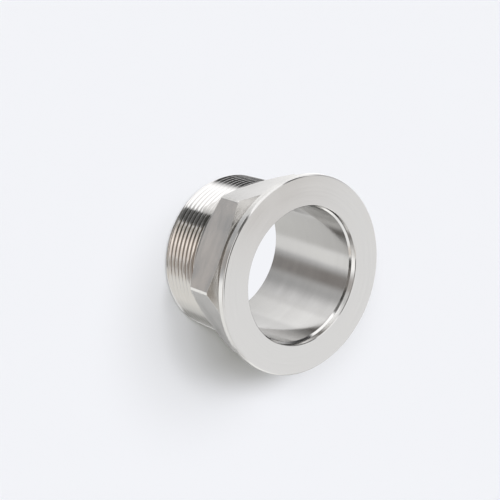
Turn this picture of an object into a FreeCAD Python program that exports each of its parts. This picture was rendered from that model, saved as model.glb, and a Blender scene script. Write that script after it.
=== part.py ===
import FreeCAD, Part
import math
import os

# Driving dimensions, in millimetres and degrees.
# The adapter stands on its threaded end. Z = 0 is the end face of the thread
# and the sealing face of the flange is on top, facing up.
THREADED_LENGTH = 19.9
HEXAGON_HEIGHT = 13.0
FLANGE_STANDOFF = 11.9

# Way through the part
BORE_DIAMETER = 50.8
RECESS_STEP = 0.7
RECESS_WALL = 2.2
RECESS_BREAK = 0.2
OUTLET_BREAK = 0.3

# Clamping flange, nominal bore 50
FLANGE_DIAMETER = 75.0
RIM_THICKNESS = 3.0
CLAMP_TAPER = 15.0
EDGE_BREAK = 0.3

# Neck between the flange and the hexagon
NECK_WALL = 3.8

# Hexagon, its corners turned round and chamfered at both ends
ACROSS_FLATS = 61.0
ACROSS_CORNERS = 69.85
LOWER_CHAMFER = 32.0
UPPER_CHAMFER = 10.0

# Tapered pipe thread, size 2 inch, 11.5 threads to the inch, right hand
THREAD_END_DIAMETER = 59.2
THREAD_PITCH = 2.2087
THREAD_TAPER = 0.0625
FLANK_ANGLE = 30.0
CREST_FLAT = 0.2
ROOT_FLAT = 0.15
THREAD_START = -15.0
RELIEF_PITCHES = 0.35
RELIEF_DEPTH = 0.1
END_CHAMFER = 1.4

# Sizes that follow from the ones above
HEX_TOP = THREADED_LENGTH + HEXAGON_HEIGHT
TOTAL_HEIGHT = HEX_TOP + FLANGE_STANDOFF
BORE_RADIUS = BORE_DIAMETER / 2
NECK_RADIUS = BORE_RADIUS + NECK_WALL
RELIEF_BOTTOM = THREADED_LENGTH - RELIEF_PITCHES * THREAD_PITCH

UP = FreeCAD.Vector(0, 0, 1)
ORIGIN = FreeCAD.Vector(0, 0, 0)


def slope(degrees):
    return math.tan(math.radians(degrees))


def crest_radius(z):
    """Radius over the crests of the tapered thread at height z."""
    return (THREAD_END_DIAMETER + THREAD_TAPER * z) / 2


def thread_depth():
    """Height of a thread from its root flat to its crest flat."""
    return (THREAD_PITCH - CREST_FLAT - ROOT_FLAT) / (2 * slope(FLANK_ANGLE))


def polygon_face(corners):
    return Part.Face(Part.makePolygon(corners + corners[:1]))


def revolved(outline):
    """Full turn about Z of a closed outline given as (radius, height) pairs."""
    corners = [FreeCAD.Vector(radius, 0, z) for radius, z in outline]
    return polygon_face(corners).revolve(ORIGIN, UP, 360)


def flange():
    """Round flange and neck, with the 15 degree taper that a clamp bears on."""
    rim = FLANGE_DIAMETER / 2
    underside = TOTAL_HEIGHT - RIM_THICKNESS
    taper_foot = underside - (rim - NECK_RADIUS) * slope(CLAMP_TAPER)
    return revolved([
        (0, HEX_TOP),
        (NECK_RADIUS, HEX_TOP),
        (NECK_RADIUS, taper_foot),
        (rim - EDGE_BREAK, underside - EDGE_BREAK * slope(CLAMP_TAPER)),
        (rim, underside + EDGE_BREAK),
        (rim, TOTAL_HEIGHT - EDGE_BREAK),
        (rim - EDGE_BREAK, TOTAL_HEIGHT),
        (0, TOTAL_HEIGHT),
    ])


def chamfered_blank():
    """Round blank of the hexagon, as wide as its turned corners, coned to the flats at both ends."""
    flat = ACROSS_FLATS / 2
    corner = ACROSS_CORNERS / 2
    return revolved([
        (0, THREADED_LENGTH),
        (flat, THREADED_LENGTH),
        (corner, THREADED_LENGTH + (corner - flat) * slope(LOWER_CHAMFER)),
        (corner, HEX_TOP - (corner - flat) * slope(UPPER_CHAMFER)),
        (flat, HEX_TOP),
        (0, HEX_TOP),
    ])


def hexagon():
    """Six milled flats on the chamfered blank, two of them facing along Y."""
    sharp_corner = ACROSS_FLATS / math.sqrt(3)
    corners = []
    for side in range(6):
        turn = math.radians(60 * side)
        across = FreeCAD.Vector(math.cos(turn), math.sin(turn), 0) * sharp_corner
        corners.append(across + UP * THREADED_LENGTH)
    prism = polygon_face(corners).extrude(UP * HEXAGON_HEIGHT)
    return prism.common(chamfered_blank())


def threaded_blank():
    """Tapered end that carries the thread, with the relief groove under the hexagon."""
    relief = crest_radius(RELIEF_BOTTOM) - thread_depth() - RELIEF_DEPTH
    return revolved([
        (0, 0),
        (crest_radius(END_CHAMFER) - END_CHAMFER, 0),
        (crest_radius(END_CHAMFER), END_CHAMFER),
        (crest_radius(RELIEF_BOTTOM), RELIEF_BOTTOM),
        (relief, RELIEF_BOTTOM),
        (relief, THREADED_LENGTH),
        (0, THREADED_LENGTH),
    ])


def thread_groove():
    """V groove wound right-handed from one turn below the end until it is clear of the blank."""
    depth = thread_depth()
    clear = CREST_FLAT / 4
    inner = crest_radius(-THREAD_PITCH) - depth
    outer = inner + depth + clear
    half_root = ROOT_FLAT / 2
    half_mouth = half_root + (depth + clear) * slope(FLANK_ANGLE)
    section = Part.makePolygon([
        FreeCAD.Vector(inner, 0, -half_root),
        FreeCAD.Vector(outer, 0, -half_mouth),
        FreeCAD.Vector(outer, 0, half_mouth),
        FreeCAD.Vector(inner, 0, half_root),
        FreeCAD.Vector(inner, 0, -half_root),
    ])
    rise = THREAD_PITCH + RELIEF_BOTTOM + half_mouth + clear
    half_cone = math.degrees(math.atan(THREAD_TAPER / 2))
    helix = Part.makeLongHelix(THREAD_PITCH, rise, inner, half_cone)
    sweep = Part.BRepOffsetAPI.MakePipeShell(helix)
    sweep.setBiNormalMode(UP)
    sweep.add(section)
    sweep.build()
    sweep.makeSolid()
    groove = sweep.shape()
    groove.translate(UP * -THREAD_PITCH)
    groove.rotate(ORIGIN, UP, THREAD_START)
    return groove


def way_through():
    """Bore, with the recess for a centring ring above and broken edges at both ends."""
    recess = BORE_RADIUS + RECESS_STEP
    seat = TOTAL_HEIGHT - RECESS_WALL
    return revolved([
        (0, -OUTLET_BREAK),
        (BORE_RADIUS + 2 * OUTLET_BREAK, -OUTLET_BREAK),
        (BORE_RADIUS, OUTLET_BREAK),
        (BORE_RADIUS, seat - RECESS_STEP),
        (recess, seat),
        (recess, TOTAL_HEIGHT - RECESS_BREAK),
        (recess + 2 * RECESS_BREAK, TOTAL_HEIGHT + RECESS_BREAK),
        (0, TOTAL_HEIGHT + RECESS_BREAK),
    ])


def adapter_body():
    """The whole adapter, one piece cut from one bar."""
    threaded_end = threaded_blank().cut(thread_groove())
    solid = threaded_end.fuse([hexagon(), flange()])
    return solid.cut(way_through()).removeSplitter()


os.makedirs("parts", exist_ok=True)
adapter_body().exportStep("parts/adapter_body.step")
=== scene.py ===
import bpy
import math
import numpy as np
from mathutils import Euler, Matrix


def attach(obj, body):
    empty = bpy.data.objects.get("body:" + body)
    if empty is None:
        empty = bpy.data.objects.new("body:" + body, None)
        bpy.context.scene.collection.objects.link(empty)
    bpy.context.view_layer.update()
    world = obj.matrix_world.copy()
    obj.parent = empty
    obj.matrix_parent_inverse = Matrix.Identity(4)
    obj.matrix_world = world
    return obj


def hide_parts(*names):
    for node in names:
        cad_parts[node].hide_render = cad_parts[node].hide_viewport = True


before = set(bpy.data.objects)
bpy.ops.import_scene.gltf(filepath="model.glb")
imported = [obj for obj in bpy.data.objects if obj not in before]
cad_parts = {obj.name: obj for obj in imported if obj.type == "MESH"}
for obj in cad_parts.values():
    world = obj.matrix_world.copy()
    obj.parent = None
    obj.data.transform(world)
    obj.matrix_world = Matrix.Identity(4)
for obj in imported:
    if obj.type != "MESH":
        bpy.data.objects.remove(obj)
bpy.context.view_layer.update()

# Sizes in millimetres, the same as those of the solids. THREAD_TAPER is how much the thread's diameter grows
# with height, and THREAD_START, in degrees, is the turn where its helix starts.
THREADED_LENGTH = 19.9
HEX_TOP = 32.9
TOTAL_HEIGHT = 44.8
BORE_RADIUS = 25.4
RECESS_RADIUS = 26.1
RECESS_WALL = 2.2
RECESS_BREAK = 0.2
OUTLET_BREAK = 0.3
FLANGE_RADIUS = 37.5
RIM_THICKNESS = 3.0
CLAMP_TAPER = math.radians(15)
EDGE_BREAK = 0.3
NECK_RADIUS = 29.2
APOTHEM = 30.5
TURNED_RADIUS = 34.925
LOWER_CHAMFER = math.radians(32)
UPPER_CHAMFER = math.radians(10)
THREAD_END_RADIUS = 29.6
THREAD_PITCH = 2.2087
THREAD_TAPER = 0.0625
FLANK = math.radians(30)
CREST_FLAT = 0.2
ROOT_FLAT = 0.15
THREAD_START = -15.0
RELIEF_PITCHES = 0.35
RELIEF_DEPTH = 0.1
END_CHAMFER = 1.4
THREAD_DEPTH = (THREAD_PITCH - CREST_FLAT - ROOT_FLAT) / (2 * math.tan(FLANK))
RELIEF_BOTTOM = THREADED_LENGTH - RELIEF_PITCHES * THREAD_PITCH

# Fine edge forms in millimetres. CORNER_BREAK is the width of the soft line where a flat meets a turned
# corner, and FLAT_BREAK is how far the chamfers cut into the middle of a flat.
CORNER_BREAK = 0.1
FLAT_BREAK = 0.05
FACE_BREAK = 0.48
FACE_ROUNDING = 0.9
TURNED_ROUNDING = 0.06
HEX_ROUNDING = 0.12
NECK_FILLET = 0.6
NECK_FOOT = 0.3
RELIEF_FILLET = 0.2

# A rounding takes at most EDGE_SHARE of the edge beside it
EDGE_SHARE = 0.45

# Steps of the mesh, over a rounding, over half a crest and up a flank
ARC_STEPS = 3
CREST_STEPS = 3
FLANK_SHARES = (0.33, 0.66)

# Ridges counted on past the end face, so that the thread reaches it at every turn
RIDGES_BELOW = 2

# A corner stays sharp where the next one is closer than SAME_POINT, in millimetres, and points of the mesh
# that round to the same cell are one. Large faces pull hardest on the normals, by this power of their area,
# and TINY keeps a length from being zero.
SAME_POINT = 1e-6
CELLS_PER_METRE = 2e6
AREA_POWER = 1.5
TINY = 1e-20
SIXTH = math.pi / 3
MM_PER_METRE = 1000


def crest_radius(z):
    """Radius over the crests of the tapered thread at height z."""
    return THREAD_END_RADIUS + THREAD_TAPER * z / 2


def hexagon_radius(turn):
    """Distance from the axis to the hexagon, its corners turned round, at this turn in radians."""
    off = (turn + SIXTH / 2) % SIXTH - SIXTH / 2
    return min(TURNED_RADIUS, APOTHEM / math.cos(SIXTH / 2 - abs(off)))


def corner_arc(before, corner, after):
    """Points of one (radius, height, rounding) corner, given those before and after it."""
    here = np.array(corner[:2])
    back = np.array(before[:2]) - here
    ahead = np.array(after[:2]) - here
    back_length = np.hypot(*back)
    ahead_length = np.hypot(*ahead)
    if corner[2] == 0:
        return [here]
    if min(back_length, ahead_length) < SAME_POINT:
        return [here] * (ARC_STEPS + 1)
    back = back / back_length
    ahead = ahead / ahead_length
    half = math.acos(max(-1.0, min(1.0, float(back @ ahead)))) / 2
    trim = min(corner[2] / math.tan(half), back_length * EDGE_SHARE, ahead_length * EDGE_SHARE)
    start = here + back * trim
    end = here + ahead * trim
    radius = trim * math.tan(half)
    inward = (back + ahead) / np.hypot(*(back + ahead))
    centre = here + inward * math.hypot(trim, radius)
    first = math.atan2(*(start - centre)[::-1])
    last = math.atan2(*(end - centre)[::-1])
    last = first + (last - first + math.pi) % (2 * math.pi) - math.pi
    angles = [first + (last - first) * step / ARC_STEPS for step in range(ARC_STEPS + 1)]
    return [centre + radius * np.array([math.cos(angle), math.sin(angle)]) for angle in angles]


def rounded(corners):
    """Closed outline in which every corner with a rounding becomes an arc of ARC_STEPS + 1 points."""
    points = []
    for before, corner, after in zip(corners[-1:] + corners[:-1], corners, corners[1:] + corners[:1]):
        points += corner_arc(before, corner, after)
    return points


def thread_form():
    """One pitch of the thread, from a root centre to the next, as (height, depth below the crest) pairs.

    The crest is fully round, tangent to both flanks, and as high as the crest flat of the solid.
    """
    half_root = ROOT_FLAT / 2
    middle = THREAD_PITCH / 2
    crest_arc = CREST_FLAT / 2 / math.tan(FLANK)
    steps = [(0.0, THREAD_DEPTH), (half_root, THREAD_DEPTH)]
    for share in FLANK_SHARES:
        steps.append((half_root + (middle - CREST_FLAT / 2 - half_root) * share, THREAD_DEPTH * (1 - share)))
    for step in range(CREST_STEPS):
        lean = FLANK + (math.pi / 2 - FLANK) * step / CREST_STEPS
        steps.append((middle - crest_arc * math.cos(lean), crest_arc * (1 - math.sin(lean))))
    mirrored = [(THREAD_PITCH - z, depth) for z, depth in reversed(steps[1:])]
    return steps + [(middle, 0.0)] + mirrored


FORM = thread_form()
FORM_Z = [z for z, depth in FORM] + [THREAD_PITCH]
FORM_DEPTH = [depth for z, depth in FORM] + [THREAD_DEPTH]


def thread_radius(z, lift):
    """Radius of the threaded surface at height z where the root centres lie at lift plus whole pitches."""
    return crest_radius(z) - np.interp((z - lift) % THREAD_PITCH, FORM_Z, FORM_DEPTH)


def thread_points(turn):
    """Outline of the thread at this turn, in degrees, from the relief groove down to the end face."""
    lift = THREAD_PITCH * (turn - THREAD_START) / 360
    highest = math.ceil(RELIEF_BOTTOM / THREAD_PITCH) + 1
    points = []
    for ridge in range(highest, -RIDGES_BELOW - 1, -1):
        for z, depth in reversed(FORM):
            height = lift + ridge * THREAD_PITCH + z
            level = min(max(height, 0.0), RELIEF_BOTTOM)
            chamfer = crest_radius(END_CHAMFER) - END_CHAMFER + level
            points.append(np.array([min(thread_radius(level, lift), chamfer), level]))
    return points


def outline(turn):
    """Section of the adapter at this turn, in degrees: points above the thread, on it and after it.

    It runs from the recess over the flange and the hexagon, down the thread and back up the bore.
    """
    flat = hexagon_radius(math.radians(turn))
    chamfer = flat - APOTHEM + FLAT_BREAK
    seat = TOTAL_HEIGHT - RECESS_WALL
    underside = TOTAL_HEIGHT - RIM_THICKNESS
    taper = math.tan(CLAMP_TAPER)
    relief = crest_radius(RELIEF_BOTTOM) - THREAD_DEPTH - RELIEF_DEPTH
    above = [
        (RECESS_RADIUS, seat, TURNED_ROUNDING),
        (RECESS_RADIUS, TOTAL_HEIGHT - RECESS_BREAK, TURNED_ROUNDING),
        (RECESS_RADIUS + RECESS_BREAK, TOTAL_HEIGHT, TURNED_ROUNDING),
        (FLANGE_RADIUS - FACE_BREAK, TOTAL_HEIGHT, TURNED_ROUNDING),
        (FLANGE_RADIUS, TOTAL_HEIGHT - FACE_BREAK, FACE_ROUNDING),
        (FLANGE_RADIUS, underside + EDGE_BREAK, TURNED_ROUNDING),
        (FLANGE_RADIUS - EDGE_BREAK, underside - EDGE_BREAK * taper, TURNED_ROUNDING),
        (NECK_RADIUS, underside - (FLANGE_RADIUS - NECK_RADIUS) * taper, NECK_FILLET),
        (NECK_RADIUS, HEX_TOP, NECK_FOOT),
        (flat - chamfer, HEX_TOP, HEX_ROUNDING),
        (flat, HEX_TOP - chamfer * math.tan(UPPER_CHAMFER), HEX_ROUNDING),
        (flat, THREADED_LENGTH + chamfer * math.tan(LOWER_CHAMFER), HEX_ROUNDING),
        (flat - chamfer, THREADED_LENGTH, HEX_ROUNDING),
        (relief, THREADED_LENGTH, RELIEF_FILLET),
        (relief, RELIEF_BOTTOM, 0.0),
    ]
    after = [
        (BORE_RADIUS + OUTLET_BREAK, 0.0, TURNED_ROUNDING),
        (BORE_RADIUS, OUTLET_BREAK, TURNED_ROUNDING),
        (BORE_RADIUS, seat - (RECESS_RADIUS - BORE_RADIUS), TURNED_ROUNDING),
    ]
    thread = thread_points(turn)
    top = [(float(thread[0][0]), float(thread[0][1]), 0.0)]
    foot = [(float(thread[-1][0]), float(thread[-1][1]), 0.0)]
    upper = rounded(after[-1:] + above + top)[ARC_STEPS + 1:-1]
    lower = rounded(foot + after + above[:1])[1:-(ARC_STEPS + 1)]
    return upper, thread, lower


def columns():
    """Turns of the mesh's columns: every degree, and more where the turned corners meet the flats."""
    turns = set(float(degree) for degree in range(361))
    reach = 30 - math.degrees(math.acos(APOTHEM / TURNED_RADIUS))
    half_break = math.degrees(CORNER_BREAK / TURNED_RADIUS) / 2
    for corner in range(0, 361, 60):
        for off in (reach - half_break * 3, reach - half_break, reach + half_break, reach + half_break * 3):
            turns.add(min(360.0, corner + off))
            turns.add(max(0.0, corner - off))
    return sorted(turns)


def body_mesh():
    """Points and faces of the skin, each face's strip, and how many points lie above and on the thread."""
    turns = columns()
    sections = []
    for turn in turns:
        upper, thread, lower = outline(turn)
        sections.append(np.array(upper + thread + lower))
    counts = (len(upper), len(thread))
    sections = np.array(sections)
    radius = sections[..., 0]
    angle = np.radians(np.array(turns))[:, None]
    points = np.stack([radius * np.cos(angle), radius * np.sin(angle), sections[..., 1]], -1) / MM_PER_METRE
    points = points.reshape(-1, 3)

    # Points that fall together are one, as where the last turn meets the first and past the thread's ends
    cells = np.round(points * CELLS_PER_METRE).astype(np.int64)
    keys, index = np.unique(cells, axis=0, return_inverse=True)
    index = index.ravel()
    verts = np.zeros((len(keys), 3))
    verts[index] = points

    rows = sections.shape[1]
    faces = []
    strips = []
    for column in range(len(turns) - 1):
        here = column * rows
        beside = here + rows
        for row in range(rows):
            below = (row + 1) % rows
            ring = [index[here + row], index[here + below], index[beside + below], index[beside + row]]
            face = [int(v) for i, v in enumerate(ring) if v != ring[i - 1]]
            if len(face) < 3 or len(set(face)) != len(face):
                continue
            faces.append(face)
            strips.append(row)
    return verts, faces, strips, counts


def build_body():
    """The adapter's mesh, with normals that keep wide surfaces flat beside their fine roundings."""
    verts, faces, strips, counts = body_mesh()
    mesh = bpy.data.meshes.new("adapter_dressed")
    mesh.from_pydata(verts.tolist(), [], faces)
    mesh.validate()
    mesh.update()
    obj = bpy.data.objects.new("adapter_dressed", mesh)
    bpy.context.scene.collection.objects.link(obj)
    normals = np.zeros((len(mesh.vertices), 3))
    for face in mesh.polygons:
        face.use_smooth = True
        pull = np.array(face.normal[:]) * face.area ** AREA_POWER
        for v in face.vertices:
            normals[v] += pull
    normals = normals / np.maximum(np.linalg.norm(normals, axis=1, keepdims=True), TINY)
    mesh.normals_split_custom_set_from_vertices(normals.tolist())
    return obj, strips, counts


def add_node(tree, kind, inputs=None, **settings):
    """Adds a node, sets its properties and feeds each input with a value or another node's output."""
    node = tree.nodes.new(kind)
    for name, value in settings.items():
        setattr(node, name, value)
    for key, value in (inputs or {}).items():
        if isinstance(value, bpy.types.NodeSocket):
            tree.links.new(value, node.inputs[key])
        else:
            node.inputs[key].default_value = value
    return node


def math_node(tree, operation, *values):
    """Result of one operation of arithmetic on these values."""
    node = add_node(tree, "ShaderNodeMath", dict(enumerate(values)), operation=operation)
    return node.outputs[0]


def eased(tree, value, low, high, start=0.0, end=1.0):
    """Eased step of value between low and high, from start to end."""
    inputs = {"Value": value, "From Min": low, "From Max": high, "To Min": start, "To Max": end}
    return add_node(tree, "ShaderNodeMapRange", inputs, interpolation_type="SMOOTHSTEP").outputs["Result"]


def shared(tree, first, share, second):
    """Sum of two values, the first by its share and the second by the rest."""
    one = math_node(tree, "MULTIPLY", first, share)
    other = math_node(tree, "MULTIPLY", second, 1 - share)
    return math_node(tree, "ADD", one, other)


def mix_colour(tree, share, under, over):
    """Lays the colour over on under by share. Under is a colour or another node's output."""
    if not isinstance(under, bpy.types.NodeSocket):
        under = under + (1,)
    inputs = {"Factor": share, "A": under, "B": over + (1,)}
    return add_node(tree, "ShaderNodeMix", inputs, data_type="RGBA").outputs["Result"]


# Finish of each kind of surface: brightness, as a share of the steel's colour, then roughness, its spread,
# anisotropy, and the spacing and depth of its lines in millimetres. The bore's colour is darker than the
# rest, a painted shade for the shadowed floor that it mirrors, and the recess and the thread are brighter
# than the rest.
STEEL = (0.725, 0.715, 0.70)
FINISHES = {
    "turned_face": (1.00, 0.16, 0.05, 0.30, 0.35, 0.0010),
    "turned_wall": (1.00, 0.15, 0.05, 0.45, 0.30, 0.0010),
    "recess_wall": (1.12, 0.15, 0.05, 0.45, 0.30, 0.0010),
    # The bore's low brightness is painted shade: it stands in for the shadowed floor mirrored down the bore
    "bored_wall": (0.68, 0.14, 0.03, 0.45, 0.30, 0.0006),
    "milled_flat": (1.00, 0.16, 0.05, 0.30, 0.50, 0.0012),
    "cut_thread": (1.06, 0.07, 0.02, 0.20, 0.15, 0.0004),
    "worn_edge": (1.00, 0.10, 0.02, 0.00, 0.20, 0.0004),
}

# Grain of the steel: fine cutter lines, broad ones so many times as wide, and soft patches mixed with them.
# A line's drift is how much it changes on its way round the axis.
BROAD_WIDTH = 9
FINE_DRIFT = 1.5
BROAD_DRIFT = 0.8
FINE_DETAIL = 3.0
BROAD_DETAIL = 2.0
PATCH_SCALE = 70.0
PATCH_DETAIL = 3.0
BROAD_SHARE = 0.6
FINE_SHARE = 0.5
NOISE_RANGE = (0.3, 0.7)
DARK_TONE = 0.97
LIGHT_TONE = 1.03
QUARTER_TURN = 0.25

# Surfaces with a finish of their own, by the corner of the outline that they start from
UPPER_FINISHES = {0: "recess_wall", 2: "turned_face", 10: "milled_flat"}
LOWER_FINISHES = {1: "bored_wall", 2: "recess_wall"}


def steel(name):
    """Bright stainless steel with the fine lines that the cutter left around the axis."""
    bright, roughness, spread, anisotropy, spacing, depth = FINISHES[name]
    material = bpy.data.materials.new("steel_" + name)
    material.use_nodes = True
    tree = material.node_tree
    shader = tree.nodes["Principled BSDF"]
    shader.inputs["Metallic"].default_value = 1.0
    shader.inputs["Anisotropic"].default_value = anisotropy
    shader.inputs["Anisotropic Rotation"].default_value = QUARTER_TURN
    tangent = add_node(tree, "ShaderNodeTangent", direction_type="RADIAL", axis="Z")
    tree.links.new(tangent.outputs[0], shader.inputs["Tangent"])

    place = add_node(tree, "ShaderNodeTexCoord").outputs["Object"]
    parts = add_node(tree, "ShaderNodeSeparateXYZ", {0: place}).outputs
    x_squared = math_node(tree, "MULTIPLY", parts["X"], parts["X"])
    y_squared = math_node(tree, "MULTIPLY", parts["Y"], parts["Y"])
    radius = math_node(tree, "SQRT", math_node(tree, "ADD", x_squared, y_squared))
    cosine = math_node(tree, "DIVIDE", parts["X"], radius)
    sine = math_node(tree, "DIVIDE", parts["Y"], radius)

    def lines(pitch, drift, detail):
        """Noise drawn out around the axis, with this pitch from line to line in millimetres."""
        across = math_node(tree, "MULTIPLY", radius, MM_PER_METRE / pitch)
        along = math_node(tree, "MULTIPLY", parts["Z"], MM_PER_METRE / pitch)
        turn = math_node(tree, "MULTIPLY", cosine, drift)
        other_turn = math_node(tree, "MULTIPLY", sine, drift)
        vector = add_node(tree, "ShaderNodeCombineXYZ", {0: across, 1: along, 2: turn}).outputs[0]
        inputs = {"Vector": vector, "W": other_turn, "Scale": 1.0, "Detail": detail}
        return add_node(tree, "ShaderNodeTexNoise", inputs, noise_dimensions="4D").outputs["Fac"]

    fine = lines(spacing, FINE_DRIFT, FINE_DETAIL)
    broad = lines(spacing * BROAD_WIDTH, BROAD_DRIFT, BROAD_DETAIL)
    inputs = {"Vector": place, "Scale": PATCH_SCALE, "Detail": PATCH_DETAIL}
    patches = add_node(tree, "ShaderNodeTexNoise", inputs).outputs["Fac"]
    grain = shared(tree, broad, BROAD_SHARE, patches)
    uneven = eased(tree, grain, *NOISE_RANGE, roughness - spread, roughness + spread)
    tree.links.new(uneven, shader.inputs["Roughness"])

    tone = eased(tree, shared(tree, fine, FINE_SHARE, grain), *NOISE_RANGE)
    dark = tuple(c * bright * DARK_TONE for c in STEEL)
    light = tuple(c * bright * LIGHT_TONE for c in STEEL)
    tree.links.new(mix_colour(tree, tone, dark, light), shader.inputs["Base Color"])
    inputs = {"Height": fine, "Distance": depth / MM_PER_METRE, "Strength": 1.0}
    tree.links.new(add_node(tree, "ShaderNodeBump", inputs).outputs[0], shader.inputs["Normal"])
    return material


def finish_of(strip, counts):
    """Finish of a strip of the mesh, by its place in the outline. The strips of a rounding are worn."""
    upper, thread = counts
    if upper - 1 <= strip < upper + thread:
        return "cut_thread"
    finishes = UPPER_FINISHES
    if strip >= upper + thread:
        strip -= upper + thread
        finishes = LOWER_FINISHES
    corner, step = divmod(strip, ARC_STEPS + 1)
    if step != ARC_STEPS:
        return "worn_edge"
    return finishes.get(corner, "turned_wall")


body, strips, counts = build_body()
kinds = sorted(FINISHES)
for kind in kinds:
    body.data.materials.append(steel(kind))
for face, strip in zip(body.data.polygons, strips):
    face.material_index = kinds.index(finish_of(strip, counts))
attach(body, "root")
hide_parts("adapter_body")

# Paper floor, in metres. Its colour is also that of the background, and its glow is what a shadow keeps.
PAPER = (0.896, 0.905, 0.939)
FLOOR_GLOW = (0.260, 0.258, 0.238)
FLOOR_OPENING = 0.027
FLOOR_REACH = 4.0
FLOOR_SIDES = 60

# Light and dark cards around the part, which only the steel mirrors: (turn of the middle, half width,
# soft edge, lowest rise, highest rise, soft edge) in degrees, then colour. A turn is counted from +X
# towards +Y, and a rise up from the horizon. Each card lies over the ones before it.
CARD_GROUND = (0.94, 0.945, 0.955)
CARDS = (
    # White sheet for the bright side of the thread, with a dimmer patch for the recess and the flange's edge
    ((-172, 39, 5, -13, 80, 5), (1.36, 1.36, 1.38)),
    ((-160, 20, 8, 12, 40, 6), (1.18, 1.18, 1.19)),
    # Ring of light below the horizon, for the bore
    ((0, 190, 5, -47, -36, 4), (1.40, 1.40, 1.41)),
    ((-168, 22, 10, -47, -36, 4), (1.62, 1.62, 1.63)),
    ((150, 26, 12, -47, -36, 4), (1.31, 1.31, 1.32)),
    # Flat of the hexagon at -150 degrees
    ((150, 26, 12, -90, -47, 2), (0.71, 0.71, 0.715)),
    # Bands of the bore and the recess, and small ones in the flange's rim
    ((-88, 30, 24, -47, -15, 2), (0.77, 0.77, 0.77)),
    ((-80, 12, 14, -47, -15, 2), (0.37, 0.345, 0.33)),
    ((-47, 10, 8, -47, -36, 4), (1.33, 1.33, 1.32)),
    ((-122, 10, 8, -37, -12, 4), (0.22, 0.22, 0.215)),
    ((-2, 31, 14, -47, -15, 2), (0.84, 0.84, 0.83)),
    ((41, 9, 6, -47, -36, 4), (1.20, 1.20, 1.19)),
    ((66, 14, 8, -47, -12, 3), (0.58, 0.58, 0.575)),
    # Flats at -90 and -30 degrees, the corners at -120 and -60 and the rim of the flange
    ((-97, 41, 14, -90, -47, 2), (0.31, 0.32, 0.335)),
    ((-160, 24, 8, -60, -46.8, 1), (0.50, 0.50, 0.49)),
    ((-10, 24, 12, -60, -46.5, 1), (1.08, 1.08, 1.06)),
    ((42, 32, 20, -90, -47, 2), (1.00, 1.00, 0.99)),
    ((57, 25, 2, -90, -46, 1), (0.03, 0.03, 0.03)),
    # Chamfer on top of the hexagon at -60 degrees, after two reflections
    ((0, 16, 10, -74, -57, 4), (0.42, 0.375, 0.33)),
    # Crests of the thread, and with the last one the same chamfer at -120 degrees
    ((-119, 11, 4, -64, -51.5, 1), (0.05, 0.05, 0.05)),
    ((-80, 20, 16, -64, -52, 1), (1.18, 1.05, 0.95)),
    ((-172, 26, 6, -64, -51.5, 1), (1.40, 1.40, 1.41)),
    # Grooves of the thread, after two reflections
    ((-70, 34, 12, -24, -1, 6), (0.335, 0.28, 0.238)),
    ((-103, 14, 10, -24, -1, 6), (0.13, 0.115, 0.095)),
    # Cards near the horizon, for narrow parts of the thread and the edges of the flange and the recess
    ((0, 24, 8, -14, 14, 6), (0.80, 0.80, 0.79)),
    ((140, 16, 14, -14, 14, 10), (0.54, 0.54, 0.55)),
    ((38, 16, 10, -14, 12, 6), (1.15, 1.15, 1.14)),
    # Mostly the upper flanks of the thread
    ((5, 30, 14, 37, 85, 8), (0.79, 0.775, 0.74)),
    ((-27, 7, 8, 34, 60, 6), (0.66, 0.61, 0.56)),
    ((20, 9, 8, 33, 60, 6), (0.66, 0.655, 0.635)),
    ((-78, 34, 22, 52, 85, 4), (0.87, 0.785, 0.72)),
    ((-76, 9, 18, 52, 85, 4), (1.14, 1.03, 0.945)),
    ((-36, 9, 14, 52, 85, 8), (0.48, 0.445, 0.41)),
    ((-109, 7, 12, 52, 85, 4), (0.50, 0.47, 0.43)),
    # Dark strips in the edges of the flange and the recess
    ((-82, 45, 4, 37, 52, 5), (0.02, 0.02, 0.018)),
    ((-70, 18, 10, 37, 52, 5), (0.16, 0.15, 0.14)),
    # Dark bands down the thread, on its flanks and in its grooves, and in the edges above it
    ((-132, 13.5, 5, 53, 85, 5), (0.11, 0.11, 0.11)),
    ((-119, 10.5, 4, 10, 53, 5), (0.18, 0.18, 0.176)),
    ((-117, 9, 4, -14, 10, 5), (0.07, 0.07, 0.068)),
    ((33, 13, 8, 22, 50, 6), (0.25, 0.25, 0.24)),
    ((162, 21, 6, 11, 44, 6), (0.055, 0.055, 0.057)),
    # Face of the flange
    ((108, 16, 5, 46, 85, 2), (0.68, 0.65, 0.63)),
)

# Soft distant lamps: name, strength, width, tilt from straight down and turn, the last three in degrees
LAMPS = (
    ("broad", 1.02, 38, 30, 10),
    ("key", 0.97, 14, 30, 50),
    ("fill", 0.98, 12, 36, 70),
    ("low", 0.93, 12, 48, 80),
)

# Camera: place and farthest sight in metres, turns in degrees, lens and film width in millimetres
CAMERA_PLACE = (0.005019, -0.425921, 0.474545)
CAMERA_TURNS = (-16.1723, -40.0959, 115.3067)
CAMERA_LENS = 119.87
FILM_WIDTH = 36
FARTHEST = 20


def floor_mesh():
    """Flat ring on the ground, open under the bore."""
    turns = [math.radians(360 / FLOOR_SIDES * step) for step in range(FLOOR_SIDES)]
    verts = []
    for radius in (FLOOR_OPENING, FLOOR_REACH):
        verts += [(radius * math.cos(turn), radius * math.sin(turn), 0) for turn in turns]
    faces = []
    for side in range(FLOOR_SIDES):
        beside = (side + 1) % FLOOR_SIDES
        faces.append((side, FLOOR_SIDES + side, FLOOR_SIDES + beside, beside))
    mesh = bpy.data.meshes.new("floor")
    mesh.from_pydata(verts, [], faces)
    return mesh


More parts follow.
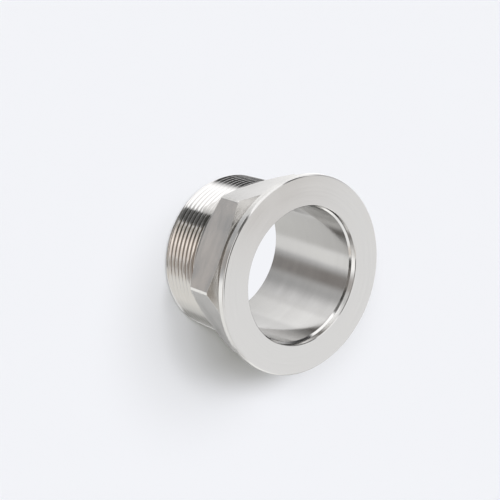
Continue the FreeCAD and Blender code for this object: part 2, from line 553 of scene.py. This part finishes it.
def build_floor():
    """Paper floor. Through its opening the bore shows the pale background."""
    floor = bpy.data.objects.new("floor", floor_mesh())
    bpy.context.scene.collection.objects.link(floor)
    paper = bpy.data.materials.new("floor_paper")
    paper.use_nodes = True
    tree = paper.node_tree
    shader = tree.nodes["Principled BSDF"]
    base = tuple(c - glow for c, glow in zip(PAPER, FLOOR_GLOW))
    shader.inputs["Base Color"].default_value = base + (1,)
    shader.inputs["Roughness"].default_value = 1.0
    shader.inputs["Specular IOR Level"].default_value = 0.0
    shader.inputs["Emission Color"].default_value = FLOOR_GLOW + (1,)
    rays = add_node(tree, "ShaderNodeLightPath").outputs
    tree.links.new(rays["Is Camera Ray"], shader.inputs["Emission Strength"])
    floor.data.materials.append(paper)
    floor.visible_glossy = False
    floor.visible_shadow = False


def card_share(tree, turn, rise, card):
    """How much of a card is in a direction, which is given by its turn and rise in radians."""
    middle, half, side_edge, low, high, end_edge = card
    away = math_node(tree, "SUBTRACT", turn, math.radians(middle))
    away = math_node(tree, "ABSOLUTE", math_node(tree, "WRAP", away, math.pi, -math.pi))
    outer = math.radians(half + side_edge / 2)
    inner = math.radians(half - side_edge / 2)
    within = eased(tree, away, outer, inner)
    above = eased(tree, rise, math.radians(low - end_edge / 2), math.radians(low + end_edge / 2))
    below = eased(tree, rise, math.radians(high + end_edge / 2), math.radians(high - end_edge / 2))
    return math_node(tree, "MULTIPLY", math_node(tree, "MULTIPLY", within, above), below)


def build_world():
    """Pale background, with light and dark cards that the steel mirrors and that don't light the floor."""
    world = bpy.data.worlds.new("studio")
    bpy.context.scene.world = world
    world.use_nodes = True
    tree = world.node_tree
    direction = add_node(tree, "ShaderNodeTexCoord").outputs["Generated"]
    parts = add_node(tree, "ShaderNodeSeparateXYZ", {0: direction}).outputs
    turn = math_node(tree, "ARCTAN2", parts["Y"], parts["X"])
    rise = math_node(tree, "ARCSINE", parts["Z"])
    colour = CARD_GROUND
    for card, shade in CARDS:
        colour = mix_colour(tree, card_share(tree, turn, rise, card), colour, shade)
    rays = add_node(tree, "ShaderNodeLightPath").outputs
    scattered = math_node(tree, "MINIMUM", rays["Diffuse Depth"], 1.0)
    colour = mix_colour(tree, scattered, colour, (0, 0, 0))
    colour = mix_colour(tree, rays["Is Camera Ray"], colour, PAPER)
    tree.links.new(colour, tree.nodes["Background"].inputs["Color"])
    world.cycles_visibility.diffuse = False


def build_lamp(name, strength, width, tilt, turn):
    """Soft distant lamp, which the steel doesn't mirror."""
    lamp = bpy.data.lights.new(name, "SUN")
    lamp.energy = strength
    lamp.angle = math.radians(width)
    light = bpy.data.objects.new(name, lamp)
    light.rotation_euler = Euler([0, math.radians(-tilt), math.radians(turn)], "XYZ")
    light.visible_glossy = False
    bpy.context.scene.collection.objects.link(light)


def build_camera():
    """Camera at the photograph's viewing angle."""
    data = bpy.data.cameras.new("camera")
    data.lens = CAMERA_LENS
    data.sensor_width = FILM_WIDTH
    data.clip_end = FARTHEST
    camera = bpy.data.objects.new("camera", data)
    camera.location = CAMERA_PLACE
    camera.rotation_euler = Euler([math.radians(turn) for turn in CAMERA_TURNS], "XYZ")
    bpy.context.scene.collection.objects.link(camera)
    bpy.context.scene.camera = camera


build_floor()
build_world()
for lamp in LAMPS:
    build_lamp(*lamp)
build_camera()
bpy.context.scene.view_settings.view_transform = "Standard"
